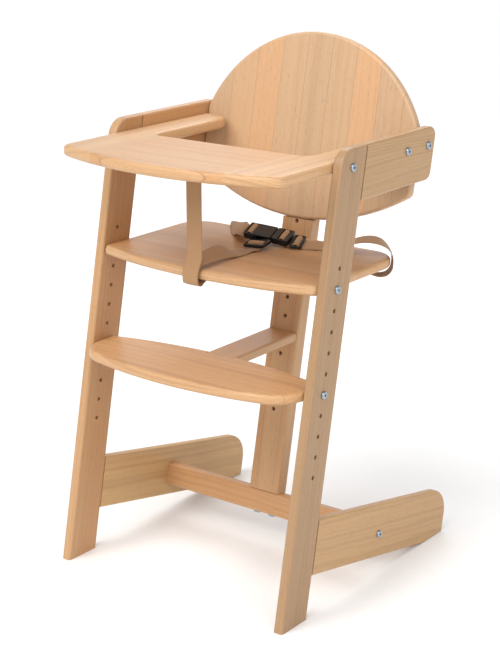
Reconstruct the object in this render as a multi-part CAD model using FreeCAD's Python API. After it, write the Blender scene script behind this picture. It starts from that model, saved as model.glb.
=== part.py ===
import FreeCAD, Part
import math, os

V = FreeCAD.Vector
X, Y, Z = V(1, 0, 0), V(0, 1, 0), V(0, 0, 1)
os.makedirs("parts", exist_ok=True)

# A child's wooden high chair, bolted together from boards, with a lap harness.
# Millimetres, Z up, X to the sitter's left, the front of the chair towards -Y.
# The side frames lean back, so most places are given twice over: "out" is the distance
# behind the plane of the uprights' front edges, and "up" is the distance along the lean.

# Frame
lean = math.radians(11.5)      # how far the uprights and the rear post lean back
inner_width = 420.0            # clear width between the two side frames
side_board = 17.0              # uprights, armrests and runners
panel = 16.0                   # seat, footrest and backrest
side_gap = 0.25                # between a movable board and the side frame
joint_gap = 0.3                # between a board and a leaning face that it meets
ease = 4.0                     # eased long edges of the side frames

upright_width = 65.0
upright_top_radius = 32.0
armrest_top = 721.0
armrest_height = 84.0
armrest_out = 261.0            # rear end of the armrest
armrest_radius = 15.0
runner_height = 90.0
runner_up = 82.6               # lower edge of the runner
runner_out = 467.0             # rear end of the runner
runner_radius = 45.0
runner_heel_radius = 4.0

# Rows of adjusting holes
hole_dia = 7.0
hole_pitch = 32.0
hole_count = 11
hole_inset = 30.0              # row behind the front edge of the upright
top_hole_drop = 179.3          # top hole below the armrest's top, along the lean
seat_hole = 1                  # counted down from the top hole
footrest_hole = 6

# Rear post and cross beam
post_out = 236.5               # front face of the post
post_width = 60.0
post_depth = 26.0
post_top_up = 700.0
beam_up = 102.6                # underside of the beam
beam_height = 40.0
beam_depth = 22.0
beam_ease = 5.0

# Backrest
backrest_proud = 4.0           # how far it stands out of the post's front face
backrest_low_drop = 173.5      # lowest point of the lower bow, below the armrest's top
backrest_height = 306.0
backrest_top_spread = 16.3     # radius of the top, over half the board's width
backrest_drop = 63.0           # sagitta of the lower bow
backrest_corner = 10.0
backrest_ease = 5.0

# Seat and footrest
seat_bow = 28.5                # how far the front bows out past the uprights
seat_bow_radius = 747.0
seat_front_corner = 12.0
seat_rear_corner = 48.0
board_ease = 6.0
footrest_bow = 63.0
footrest_bow_radius = 700.0
footrest_corner = 60.0
footrest_rear = 80.0           # middle of the rear edge, behind the uprights' front
footrest_rear_radius = 767.0
strut_width = 56.0

# Tray
tray_thickness = 18.0
tray_drop = 19.5               # tray top below the armrest top
tray_reach = 168.8             # middle of the front edge, ahead of the uprights' front
tray_front_radius = 540.0
tray_front_corner = 22.0
tray_board_depth = 194.5       # front edge to the opening
tray_arm_width = 60.0
tray_side_width = 83.5         # width of the two side boards
tray_inner_radius = 18.0
tray_arm_radius = 35.0
tray_ease = 7.0

# Fasteners
bolt_dia = 6.0
bolt_head_dia = 13.0
bolt_head_height = 3.6
bolt_socket = 4.0
insert_dia = 8.0
insert_length = 13.0
insert_bore_gap = 0.05
bolt_bite = 20.0               # how far a bolt runs into the second board
dowel_dia = 8.0
dowel_length = 36.0
screw_dia = 4.0
screw_head_dia = 8.0
screw_head_height = 2.4
screw_length = 12.0
tray_bolt_spacing = 60.0       # from the backrest's bolt forward to the tray's
foot_bolt_x = 15.5             # bolts from the beam into the post, either side of the middle
strut_dowel_x = 15.0
backrest_screw_rises = (22.0, 50.0, 78.0)   # above the lowest point of the backrest

# Harness
strap_width = 30.0
strap_thickness = 1.6
strap_gap = 0.3
washer_dia = 16.0
washer_thickness = 1.2

# Buckle. A yaw turns a piece about Z, a slope lowers its +X end, and a tilt lifts its rear side.
buckle_yaw = 14.0
buckle_slope = 6.0
buckle_tilt = 15.0
buckle_x = 1.5
buckle_behind_front = 196.7    # middle of the buckle, behind the seat's front edge
buckle_above = 16.5            # and above the seat
buckle_width = 37.0
buckle_thickness = 11.0
buckle_wall = 2.4
buckle_corner = 3.0
buckle_edge = 2.0
mouth_x = 9.0                  # where the socket and the plug meet, from the buckle's middle
socket_length = 47.5
socket_depth = 28.0            # depth of the mouth
socket_end_bar = 3.2
plug_length = 29.0
plug_end_bar = 5.8
plug_gap = 0.6
bar_width = 4.2                # bar that the strap goes round, between its two slots
slot_length = 4.0
slot_room = 0.8                # beside the strap, at each side of a slot
end_step = 1.0                 # how far the slotted ends lie below the buckle's top
window_length = 22.0
window_lip = 4.0
tongue_length = 22.0
tongue_width = 7.0
prong_length = 25.0
prong_width = 4.0
prong_thickness = 5.0
prong_root = 6.0               # hinge of the prong behind the plug's front
prong_heel = 2.0               # end of the prong behind its hinge
prong_gap = 0.3
prong_swing_room = 1.4         # clearance on the prong's inner side, for its swing
prong_nose = 1.4               # radius of its tip
pad_length = 13.5
pad_swell = 1.2                # how much thicker the pad is, on its inner side
strap_start = 0.6              # end of a strap, clear of the bar that it is looped on
strap_start_drop = 0.6

# Slider on the waist strap
slider_yaw = 19.0
slider_slope = 4.0
slider_tilt = 16.0
slider_x = 51.4
slider_behind_front = 206.4
slider_above = 9.1
slider_room = 0.5              # between the slider and its strap, past the usual gap
slider_length = 20.0
slider_width = 38.0
slider_thickness = 3.6
slider_end_bar = 3.4
slider_corner = 4.0
slider_run = 16.0              # how far the strap stays straight past the slider's middle
small_edge = 1.2

# Adjuster at the end of the crotch strap
adjuster_yaw = 4.0
adjuster_slope = -4.0
adjuster_tilt = 10.0
adjuster_x = 2.5
adjuster_behind_front = 162.3
adjuster_above = 8.2
adjuster_width = 40.0
adjuster_length = 27.0
adjuster_end_bar = 4.8
adjuster_middle_bar = 5.0
adjuster_side_bar = 4.0
adjuster_thickness = 4.6
adjuster_corner = 5.0

# Places worked out from the sizes above
half_inner = inner_width / 2
half_panel = half_inner - side_gap
sin_lean, cos_lean = math.sin(lean), math.cos(lean)
along_out = V(0, cos_lean, -sin_lean)
along_up = V(0, sin_lean, cos_lean)


def spot(x, out, up):
    """Point at side x, a distance behind the front plane and a distance along the lean."""
    return V(x, 0, 0) + along_out * out + along_up * up


def lean_y(out, z):
    """Y of the leaning plane at the distance out, at height z."""
    return (out + z * sin_lean) / cos_lean


def up_at(out, z):
    """Distance along the lean at which the plane at the distance out has height z."""
    return (z + out * sin_lean) / cos_lean


top_hole_up = up_at(hole_inset, armrest_top) - top_hole_drop
hole_ups = [top_hole_up - hole_pitch * i for i in range(hole_count)]
seat_point = spot(0, hole_inset, hole_ups[seat_hole])
footrest_point = spot(0, hole_inset, hole_ups[footrest_hole])
post_hole_rise = (post_out - hole_inset) * math.tan(lean)
post_hole_ups = [up + post_hole_rise for up in hole_ups]
seat_top = seat_point.z + panel / 2
seat_low = seat_point.z - panel / 2
seat_front = lean_y(0, seat_point.z) - seat_bow
seat_rear = lean_y(post_out, seat_low + board_ease) - joint_gap
footrest_front = lean_y(0, footrest_point.z) - footrest_bow
tray_top = armrest_top - tray_drop
tray_low = tray_top - tray_thickness
tray_mid = tray_top - tray_thickness / 2
tray_front = lean_y(0, tray_mid) - tray_reach
backrest_out = post_out - backrest_proud
backrest_up = up_at(backrest_out, armrest_top) - backrest_low_drop
backrest_top_radius = half_panel + backrest_top_spread
tray_rear = lean_y(backrest_out, tray_low) - joint_gap
runner_top_up = runner_up + runner_height
beam_top_up = beam_up + beam_height
beam_out = post_out + (post_depth - beam_depth) / 2
runner_heel = spot(0, runner_out - runner_radius, runner_top_up - runner_radius).y + runner_radius
origin_y = (tray_front + runner_heel) / 2


# Shapes that several pieces share

def save(name, solids):
    """Writes one node, moved so that the origin is on the floor under the chair's middle."""
    group = Part.makeCompound(list(solids)) if isinstance(solids, (list, tuple)) else solids.copy()
    group.translate(V(0, -origin_y, 0))
    group.exportStep("parts/" + name + ".step")


def box(x0, x1, y0, y1, z0, z1):
    return Part.makeBox(x1 - x0, y1 - y0, z1 - z0, V(x0, y0, z0))


def rod(radius, start, end):
    return Part.makeCylinder(radius, (end - start).Length, start, end - start)


def leaned(shape):
    """Turns a shape built upright, with Y as out and Z as up, into the lean."""
    turned = shape.copy()
    turned.rotate(V(0, 0, 0), X, -math.degrees(lean))
    return turned


def mirrored(shape):
    return shape.mirror(V(0, 0, 0), X)


def outline(corners):
    """Closed wire in the YZ plane through corners (y, z, radius), each one rounded."""
    edges, ends = [], []
    for i, (y, z, radius) in enumerate(corners):
        here = V(0, y, z)
        to_last = (V(0, *corners[i - 1][:2]) - here).normalize()
        to_next = (V(0, *corners[(i + 1) % len(corners)][:2]) - here).normalize()
        if radius == 0:
            ends.append((here, here))
            continue
        half = to_last.getAngle(to_next) / 2
        back = radius / math.tan(half)
        inward = (to_last + to_next).normalize()
        middle = here + inward * (radius / math.sin(half) - radius)
        ends.append((here + to_last * back, here + to_next * back))
        edges.append(Part.Arc(ends[-1][0], middle, ends[-1][1]).toShape())
    for i, (first, last) in enumerate(ends):
        edges.append(Part.makeLine(ends[i - 1][1], first))
    return Part.Wire(Part.__sortEdges__(edges))


def flat_edges(shape, axis, value):
    """Edges that lie wholly in the plane where the axis has the value."""
    low, high = axis + "Min", axis + "Max"
    return [e for e in shape.Edges
            if abs(getattr(e.BoundBox, low) - value) < 1e-3 and abs(getattr(e.BoundBox, high) - value) < 1e-3]


def standing_edges(shape, test):
    """Edges parallel to Z whose middle passes the test."""
    return [e for e in shape.Edges
            if e.BoundBox.XLength < 1e-3 and e.BoundBox.YLength < 1e-3 and test(e.CenterOfMass)]


def off_plane(edges, out):
    """Leaves out the edges that lie in the leaning plane at the distance out."""
    def away(edge):
        return any(abs(v.Point.dot(along_out) - out) > 1e-3 for v in edge.Vertexes)
    return [e for e in edges if away(e)]


def side_piece(corners, radius, joint_out):
    """A board of the side frame at the sitter's left, eased except along its joint."""
    solid = Part.Face(outline(corners)).extrude(X * side_board)
    solid.translate(X * half_inner)
    rims = flat_edges(solid, "X", half_inner) + flat_edges(solid, "X", half_inner + side_board)
    rims = [e for e in off_plane(rims, joint_out) if e.BoundBox.ZMax > 1e-3]
    return solid.makeFillet(radius, rims)


def placed(shape, point, direction):
    """Turns a shape built along Z so that it runs along the direction from the point."""
    moved = shape.copy()
    moved.Placement = FreeCAD.Placement(point, FreeCAD.Rotation(Z, direction))
    return moved


def bolt(point, direction, length):
    """Domed bolt with a hexagon socket. The point is the middle of the seat of its head."""
    head = Part.makeCylinder(bolt_head_dia / 2, bolt_head_height, V(0, 0, -bolt_head_height))
    head = head.makeFillet(bolt_head_height * 0.6, flat_edges(head, "Z", -bolt_head_height))
    corner = bolt_socket / math.sqrt(3)
    ring = [V(corner * math.cos(math.radians(a)), corner * math.sin(math.radians(a)), -bolt_head_height)
            for a in range(0, 361, 60)]
    key = Part.Face(Part.makePolygon(ring)).extrude(Z * (bolt_head_height * 0.6))
    shank = Part.makeCylinder(bolt_dia / 2, length)
    return placed(head.cut(key).fuse(shank).removeSplitter(), point, direction)


def bolt_hole(point, direction, length):
    return rod(hole_dia / 2, point, point + direction * length)


def insert(point, direction):
    """Threaded sleeve around a bolt. The point is its outer end."""
    sleeve = Part.makeCylinder(insert_dia / 2, insert_length)
    sleeve = sleeve.cut(Part.makeCylinder(bolt_dia / 2 + insert_bore_gap, insert_length))
    return placed(sleeve, point, direction)


def insert_hole(point, direction):
    return rod(insert_dia / 2 + insert_bore_gap, point, point + direction * insert_length)


class Joint:
    """A bolt through a first board into a sleeve inside a second board."""

    def __init__(self, point, direction, first, sink=2.0):
        self.bolt = bolt(point, direction, first + bolt_bite)
        self.insert = insert(point + direction * (first + sink), direction)
        self.through = bolt_hole(point - direction, direction, first + 2)
        blind = bolt_hole(point + direction * (first - 1), direction, bolt_bite + 3)
        self.blind = blind.fuse(insert_hole(point + direction * (first + sink), direction))


def side_joints(out, up):
    """The same joint at both sides, driven inwards through the side frames."""
    pair = []
    for side in (1, -1):
        point = spot(side * (half_inner + side_board), out, up)
        pair.append(Joint(point, X * -side, side_board))
    return pair


def cut_all(shape, tools):
    for tool in tools:
        shape = shape.cut(tool)
    return shape


def webbing(stations):
    """Strap through stations (x, y, z, side angle, roll), in the chair's own Y and Z.

    The side angle turns the strap's width about Z, from X, and the roll lifts its far side.
    """
    points = [V(*s[:3]) for s in stations]
    sections = []
    for i, station in enumerate(stations):
        ahead = points[min(i + 1, len(points) - 1)] - points[max(i - 1, 0)]
        ahead.normalize()
        angle, roll = math.radians(station[3]), math.radians(station[4])
        side = V(math.cos(angle) * math.cos(roll), math.sin(angle) * math.cos(roll), math.sin(roll))
        side = (side - ahead * side.dot(ahead)).normalize()
        thick = ahead.cross(side)
        half_side, half_thick = side * (strap_width / 2), thick * (strap_thickness / 2)
        rim = [points[i] - half_side - half_thick, points[i] + half_side - half_thick,
               points[i] + half_side + half_thick, points[i] - half_side + half_thick]
        sections.append(Part.makePolygon(rim + rim[:1]))
    return Part.makeLoft(sections, True, True)


# Side frames, modelled at the sitter's left and mirrored

def make_upright():
    foot_rear = lean_y(upright_width, 0)
    corners = [(0, 0, 0), (foot_rear, 0, 0),
               (lean_y(upright_width, armrest_top), armrest_top, 0),
               (lean_y(0, armrest_top), armrest_top, upright_top_radius)]
    solid = side_piece(corners, ease, 1e6)
    for up in hole_ups:
        start = spot(half_inner - 1, hole_inset, up)
        solid = solid.cut(rod(hole_dia / 2, start, start + X * (side_board + 2)))
    return solid


def make_armrest():
    low = armrest_top - armrest_height
    corners = [(lean_y(upright_width, low), low, 0),
               (lean_y(armrest_out, low), low, armrest_radius),
               (lean_y(armrest_out, armrest_top), armrest_top, armrest_radius),
               (lean_y(upright_width, armrest_top), armrest_top, 0)]
    return side_piece(corners, ease, upright_width)


def make_runner():
    def corner(out, up, radius):
        point = spot(0, out, up)
        return (point.y, point.z, radius)
    floor_out = runner_up / math.tan(lean)
    corners = [corner(upright_width, runner_up, 0),
               corner(floor_out, runner_up, 0),
               corner(runner_out, runner_out * math.tan(lean), runner_heel_radius),
               corner(runner_out, runner_top_up, runner_radius),
               corner(upright_width, runner_top_up, 0)]
    return side_piece(corners, ease, upright_width)


def dowel(middle, direction):
    return rod(dowel_dia / 2, middle - direction * (dowel_length / 2), middle + direction * (dowel_length / 2))


side_middle = half_inner + side_board / 2
armrest_mid_up = up_at(upright_width, armrest_top - armrest_height / 2)
runner_mid_up = runner_up + runner_height / 2
armrest_dowels = [dowel(spot(side_middle, upright_width, armrest_mid_up + s * armrest_height / 4), along_out)
                  for s in (1, -1)]
runner_dowels = [dowel(spot(side_middle, upright_width, runner_mid_up + s * runner_height / 4), along_out)
                 for s in (1, -1)]

tray_front_joints = side_joints(hole_inset, up_at(hole_inset, tray_mid))
backrest_mid_out = backrest_out + panel / 2
backrest_joints = side_joints(backrest_mid_out, up_at(backrest_mid_out, tray_mid))
tray_rear_out = backrest_mid_out - tray_bolt_spacing
tray_rear_joints = side_joints(tray_rear_out, up_at(tray_rear_out, tray_mid))
seat_joints = side_joints(hole_inset, hole_ups[seat_hole])
footrest_joints = side_joints(hole_inset, hole_ups[footrest_hole])
beam_mid_out = beam_out + beam_depth / 2
runner_joints = side_joints(beam_mid_out, beam_up + beam_height / 2)

upright = cut_all(make_upright(), armrest_dowels + runner_dowels + [tray_front_joints[0].through])
armrest = cut_all(make_armrest(), armrest_dowels + [tray_rear_joints[0].through, backrest_joints[0].through])
runner = cut_all(make_runner(), runner_dowels + [runner_joints[0].through])
for name, piece in (("upright", upright), ("armrest", armrest), ("runner", runner)):
    save("left_" + name, piece)
    save("right_" + name, mirrored(piece))
save("armrest_dowels", armrest_dowels + [mirrored(d) for d in armrest_dowels])
save("runner_dowels", runner_dowels + [mirrored(d) for d in runner_dowels])


# Rear post, cross beam and the bolts between them

post_rear = post_out + post_depth
seat_post_joint = Joint(spot(0, post_rear, post_hole_ups[seat_hole]), -along_out, post_depth)
strut_post_joint = Joint(spot(0, post_rear, post_hole_ups[footrest_hole]), -along_out, post_depth)
foot_joints = [Joint(spot(x, beam_mid_out, beam_up), along_up, beam_height) for x in (-foot_bolt_x, foot_bolt_x)]
screw_ups = [backrest_up + rise for rise in backrest_screw_rises]


def wood_screw(up):
    """Countersunk screw from the back of the post into the backrest."""
    head_height = (screw_head_dia - screw_dia) / 2
    rear, tip = spot(0, post_rear, up), spot(0, backrest_out + 4, up)
    head = Part.makeCone(screw_head_dia / 2, screw_dia / 2, head_height, rear, -along_out)
    return head.fuse(rod(screw_dia / 2, rear, tip)).removeSplitter()


screws = [wood_screw(up) for up in screw_ups]


def make_post():
    solid = box(-post_width / 2, post_width / 2, post_out, post_rear, beam_top_up, post_top_up)
    solid = solid.makeFillet(ease, standing_edges(solid, lambda p: True))
    solid = solid.makeFillet(ease, [e for e in flat_edges(solid, "Z", post_top_up)])
    rebate = box(-post_width, post_width, post_out - 1, backrest_out + panel, backrest_up - joint_gap, post_top_up + 1)
    solid = leaned(solid.cut(rebate))
    for up in post_hole_ups:
        start = spot(0, post_out - 1, up)
        if up < backrest_up:
            solid = solid.cut(rod(hole_dia / 2, start, start + along_out * (post_depth + 2)))
    return cut_all(solid, [joint.blind for joint in foot_joints] + screws)


def make_beam():
    solid = box(-half_inner, half_inner, beam_out, beam_out + beam_depth, beam_up, beam_top_up)
    long_edges = [e for e in solid.Edges if e.BoundBox.XLength > 1]
    solid = leaned(solid.makeFillet(beam_ease, long_edges))
    return cut_all(solid, [j.through for j in foot_joints] + [j.blind for j in runner_joints])


save("rear_post", make_post())
save("cross_beam", make_beam())
save("backrest_screws", screws)


# Backrest, seat, footrest and its strut

def make_backrest():
    out0, out1 = backrest_out, backrest_out + panel
    solid = box(-half_panel, half_panel, out0, out1, backrest_up, backrest_up + backrest_height)
    top_centre = backrest_up + backrest_height - backrest_top_radius
    low_radius = (half_panel ** 2 + backrest_drop ** 2) / (2 * backrest_drop)
    for radius, centre in ((backrest_top_radius, top_centre), (low_radius, backrest_up + low_radius)):
        solid = solid.common(Part.makeCylinder(radius, panel, V(0, out0, centre), Y))
    corners = [e for e in solid.Edges
               if abs(e.BoundBox.YLength - panel) < 1e-3 and e.BoundBox.XLength < 1e-3
               and e.BoundBox.ZLength < 1e-3 and abs(e.CenterOfMass.z - backrest_up - backrest_drop) < 1]
    solid = solid.makeFillet(backrest_corner, corners)
    rims = flat_edges(solid, "Y", out0) + flat_edges(solid, "Y", out1)
    solid = leaned(solid.makeFillet(backrest_ease, rims))
    return cut_all(solid, [joint.blind for joint in backrest_joints] + screws)


def bowed_board(front, rear, low, thickness, half_width, front_radius):
    """Level board whose front edge bows out, as an arc about a point behind it."""
    solid = box(-half_width, half_width, front, rear, low, low + thickness)
    return solid.common(Part.makeCylinder(front_radius, thickness, V(0, front + front_radius, low)))


def rounded_board(solid, low, thickness, radius):
    rims = flat_edges(solid, "Z", low) + flat_edges(solid, "Z", low + thickness)
    return solid.makeFillet(radius, rims)


def make_seat():
    solid = bowed_board(seat_front, seat_rear, seat_low, panel, half_panel, seat_bow_radius)
    rear = seat_rear - 1
    solid = solid.makeFillet(seat_front_corner, standing_edges(solid, lambda p: p.y < rear))
    solid = solid.makeFillet(seat_rear_corner, standing_edges(solid, lambda p: p.y > rear))
    solid = rounded_board(solid, seat_low, panel, board_ease)
    return cut_all(solid, [joint.blind for joint in seat_joints + [seat_post_joint]])


footrest_low = footrest_point.z - panel / 2
strut_front = lean_y(0, footrest_point.z) + footrest_rear
strut_rear = lean_y(post_out, footrest_point.z) - joint_gap
strut_dowels = [rod(dowel_dia / 2, V(x, strut_front - dowel_length / 2, footrest_point.z),
                    V(x, strut_front + dowel_length / 2, footrest_point.z)) for x in (-strut_dowel_x, strut_dowel_x)]


def make_footrest():
    solid = bowed_board(footrest_front, strut_front, footrest_low, panel, half_panel, footrest_bow_radius)
    rear_centre = V(0, strut_front - footrest_rear_radius, footrest_low)
    solid = solid.common(Part.makeCylinder(footrest_rear_radius, panel, rear_centre))
    middle = (footrest_front + strut_front) / 2
    solid = solid.makeFillet(footrest_corner, standing_edges(solid, lambda p: p.y < middle))
    solid = rounded_board(solid, footrest_low, panel, board_ease)
    strut_seat = box(-strut_width / 2, strut_width / 2, strut_front - board_ease * 2, strut_front + 1,
                     footrest_low, footrest_low + panel)
    return cut_all(solid, [strut_seat] + strut_dowels + [joint.blind for joint in footrest_joints])


def make_strut():
    front = strut_front - board_ease * 2
    solid = box(-strut_width / 2, strut_width / 2, front, strut_rear, footrest_low, footrest_low + panel)
    long_edges = [e for e in solid.Edges if e.BoundBox.YLength > 1]
    solid = solid.makeFillet(ease, long_edges)
    behind = box(-strut_width, strut_width, strut_rear - 20, strut_rear + 20, footrest_low - 5, footrest_low + panel + 5)
    slab = leaned(box(-strut_width, strut_width, post_out - joint_gap, post_out + 60, 0, post_top_up))
    return cut_all(solid, [behind.common(slab)] + strut_dowels + [strut_post_joint.blind])


save("backrest", make_backrest())
save("footrest", make_footrest())
save("footrest_strut", make_strut())
save("strut_dowels", strut_dowels)


# Tray, glued up from a middle board and two side boards

def make_tray():
    solid = bowed_board(tray_front, tray_rear, tray_low, tray_thickness, half_panel, tray_front_radius)
    opening_front = tray_front + tray_board_depth
    half_opening = half_inner - tray_arm_width
    opening = box(-half_opening, half_opening, opening_front, tray_rear + 1, tray_low, tray_top)
    solid = solid.cut(opening)
    rear = tray_rear - 1
    front = standing_edges(solid, lambda p: p.y < opening_front - 1)
    solid = solid.makeFillet(tray_front_corner, front)
    inner = standing_edges(solid, lambda p: abs(p.y - opening_front) < 1)
    solid = solid.makeFillet(tray_inner_radius, inner)
    arm_ends = standing_edges(solid, lambda p: p.y > rear and abs(p.x) < half_opening + 1)
    solid = solid.makeFillet(tray_arm_radius, arm_ends)
    solid = rounded_board(solid, tray_low, tray_thickness, tray_ease)
    return cut_all(solid, [joint.blind for joint in tray_front_joints + tray_rear_joints])


fastenings = {
    "tray": tray_front_joints + tray_rear_joints,
    "backrest": backrest_joints,
    "seat_side": seat_joints,
    "footrest_side": footrest_joints,
    "runner": runner_joints,
    "post_foot": foot_joints,
    "seat_post": [seat_post_joint],
    "strut_post": [strut_post_joint],
}
for name, joints in fastenings.items():
    save(name + "_bolts", [joint.bolt for joint in joints])
    save(name + "_inserts", [joint.insert for joint in joints])


# Harness straps. Places are told from the seat's front edge, and heights from its top.

half_strap = strap_thickness / 2
rest = strap_gap + half_strap            # middle of a strap that lies on a face
below = -panel - rest                    # middle of a strap under the seat


def seat_route(rows):
    return [(x, seat_front + behind, seat_top + above, angle, roll) for x, behind, above, angle, roll in rows]


def piece_turn(yaw, slope, tilt):
    """Turn of a small piece that is built flat, with X along the waist strap."""
    sloped = FreeCAD.Rotation(Z, yaw).multiply(FreeCAD.Rotation(Y, slope))
    return sloped.multiply(FreeCAD.Rotation(X, tilt))


buckle_middle = V(buckle_x, seat_front + buckle_behind_front, seat_top + buckle_above)
buckle_turn = piece_turn(buckle_yaw, buckle_slope, buckle_tilt)
slider_middle = V(slider_x, seat_front + slider_behind_front, seat_top + slider_above)
slider_turn = piece_turn(slider_yaw, slider_slope, slider_tilt)
adjuster_middle = V(adjuster_x, seat_front + adjuster_behind_front, seat_top + adjuster_above)
adjuster_turn = piece_turn(adjuster_yaw, adjuster_slope, adjuster_tilt)
socket_end = mouth_x - socket_length
plug_end = mouth_x + plug_gap + plug_length


def strap_along(middle, turn, x, z):
    """Station of a strap that lies along a turned piece, x along it and z from its middle plane."""
    point = middle + turn.multVec(V(x, 0, z))
    side = turn.multVec(Y)
    return (point.x, point.y, point.z, math.degrees(math.atan2(side.y, side.x)), math.degrees(math.asin(side.z)))


crotch_rows = [(46, below, 0), (24, below, 0), (11, below - 4, 0), (2, -25.6, 0), (-3, -23, 0), (-5, -15, 0),
               (-4.4, -8, 0), (-2.6, -1.5, 0), (1.5, 4.4, -2), (9, 7.6, -5), (22, 9.4, -12), (38, 11.4, -20),
               (52, 12.6, -27), (66, 12.8, -33), (80, 11.2, -34), (94, 8, -26), (108, 3.8, -12), (122, 1.7, -2),
               (136, 1.7, 2), (149, 2.1, 4), (158, 2.6, 4)]
crotch_strap = webbing(seat_route([(0, behind, above, 0, roll) for behind, above, roll in crotch_rows]))

hang = seat_front + 5.0                  # where the upright strap hangs down from the tray
tray_strap_rows = [(hang + 40, tray_low - rest), (hang + 16, tray_low - rest), (hang + 5, tray_low - rest - 2.4),
                   (hang + 0.6, tray_low - 9), (hang, tray_low - 20), (hang, tray_low - 60),
                   (hang, seat_top + 36), (hang - 0.2, seat_top + 24), (hang - 1.6, seat_top + 14),
                   (hang - 5.2, seat_top + 7), (hang - 9.3, seat_top - 0.2), (hang - 11.5, seat_top - 7.5),
                   (hang - 12.1, seat_top - 15), (hang - 10.6, seat_top - 22.5)]
tray_strap = webbing([(0, y, z, 0, 0) for y, z in tray_strap_rows])

socket_strap = webbing([strap_along(buckle_middle, buckle_turn, socket_end - strap_start, -strap_start_drop),
                        strap_along(buckle_middle, buckle_turn, socket_end - 3, -strap_start_drop),
                        strap_along(buckle_middle, buckle_turn, socket_end - 6, -strap_start_drop - 0.4),
                        strap_along(buckle_middle, buckle_turn, socket_end - 10, -strap_start_drop - 1.6)])

right_rows = [(-74, 215, 11.6, 80, 33), (-82, 225, 10.2, 66, 30), (-92, 238, 9, 50, 24), (-103, 253, 8, 24, 10),
              (-109, 263, 7.5, 6, 2), (-111.4, 269.6, 4.6, 0, 0), (-112, 272.4, -3, 0, 0), (-112, 272.4, -12, 0, 0),
              (-112, 269, -18.6, 0, 0), (-112, 260, below - 1.2, 0, 0), (-112, 250, below, 0, 0),
              (-112, 224, below, 0, 0)]
right_waist_strap = webbing(seat_route(right_rows))

slider_lift = slider_thickness / 2 + rest + slider_room
plug_under = buckle_thickness / 2 + rest
plug_rows = [strap_along(buckle_middle, buckle_turn, plug_end + x, z - plug_under)
             for x, z in ((-12, 0), (-8, 0), (-4, -0.1), (0, -0.4))]
plug_rows += [strap_along(slider_middle, slider_turn, x, -slider_lift)
              for x in (-slider_length / 2, 0, slider_run / 2, slider_run)]
left_rows = [(80, 218, 5.2, 106, 15), (93.5, 223, 4.9, 102, 15), (105, 225, 5.8, 100, 14), (118, 226, 8.6, 100, 12),
             (132, 228, 14, 101, 12), (147, 230, 20.4, 103, 11), (162, 233, 24.6, 107, 10), (176, 238, 25, 113, 9),
             (188, 243, 21.4, 119, 6), (196.5, 248, 14, 124, 0), (201.5, 251.5, 4, 127, 0), (202.8, 252, -8, 128, 0),
             (201.4, 250.8, -20, 128, 0), (196, 246.4, -28, 128, 0), (187, 239.2, -30.6, 128, 0),
             (176, 231, -27, 128, 0), (164, 222, -20.5, 128, 0), (152, 213, below, 128, 0),
             (138, 203, below, 128, 0), (124, 193, below, 128, 0)]
left_waist_strap = webbing(plug_rows + seat_route(left_rows))


def strap_screw(point, direction):
    """Pan screw with its washer, holding a strap end flat against a board."""
    washer = rod(washer_dia / 2, point, point + direction * -washer_thickness)
    bore = rod(screw_dia / 2, point, point + direction * -washer_thickness)
    head_seat = point - direction * washer_thickness
    head_top = head_seat - direction * screw_head_height
    head = Part.makeCylinder(screw_head_dia / 2, screw_head_height, head_top, direction)
    shank = rod(screw_dia / 2, head_seat, point + direction * screw_length)
    return head.fuse(shank).removeSplitter(), washer.cut(bore)


anchor_depth = strap_thickness + strap_gap
anchors = {"crotch": (0, seat_front + 38, seat_low), "right": (-112, seat_rear - 34, seat_low),
           "left": (136, seat_front + 201.6, seat_low), "tray": (0, hang + 30, tray_low)}
anchor_points = {name: V(x, y, z - anchor_depth) for name, (x, y, z) in anchors.items()}
strap_screws = {name: strap_screw(point, Z) for name, point in anchor_points.items()}
straps = {"crotch": crotch_strap, "left": left_waist_strap, "right": right_waist_strap, "tray": tray_strap}
for name, strap in straps.items():
    straps[name] = strap.cut(strap_screws[name][0])
save("crotch_strap", straps["crotch"])
save("left_waist_strap", straps["left"])
save("right_waist_strap", straps["right"])
save("tray_strap", straps["tray"])
save("strap_screws", [screw for screw, washer in strap_screws.values()])
save("strap_washers", [washer for screw, washer in strap_screws.values()])
save("seat", cut_all(make_seat(), [strap_screws[name][0] for name in ("crotch", "left", "right")]))

tray = make_tray().cut(strap_screws["tray"][0])
tray_split = half_inner - tray_side_width
left_half = box(tray_split, inner_width, tray_front - 1, tray_rear + 1, tray_low - 1, tray_top + 1)
save("tray_left_board", tray.common(left_half))
save("tray_right_board", tray.common(mirrored(left_half)))
save("tray_middle_board", cut_all(tray, [left_half, mirrored(left_half)]))


# Buckle, slider and adjuster, built flat about their middles and then turned into place

def laid(shape, middle, turn):
    moved = shape.copy()
    moved.Placement = FreeCAD.Placement(middle, turn).multiply(shape.Placement)
    return moved


def plate(x0, x1, width, thickness, corner, edge):
    """Flat plate with rounded corners and eased rims, centred on the strap."""
    solid = box(x0, x1, -width / 2, width / 2, -thickness / 2, thickness / 2)
    solid = solid.makeFillet(corner, standing_edges(solid, lambda p: True))
    return rounded_board(solid, -thickness / 2, thickness, edge)


def slots(x, bar, thickness):
    """Two slots from x on, with the bar between them that the strap goes round."""
    reach = strap_width / 2 + slot_room
    return [box(start, start + slot_length, -reach, reach, -thickness, thickness)
            for start in (x, x + slot_length + bar)]


cavity_half_width = buckle_width / 2 - buckle_wall
cavity_half_height = buckle_thickness / 2 - buckle_wall
prong_x = mouth_x + prong_root                  # hinge of the prongs
prong_tip_x = prong_x - prong_length
prong_y = cavity_half_width - prong_gap - prong_width / 2
two_slots = 2 * slot_length + bar_width
end_top = buckle_thickness / 2 - end_step


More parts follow.
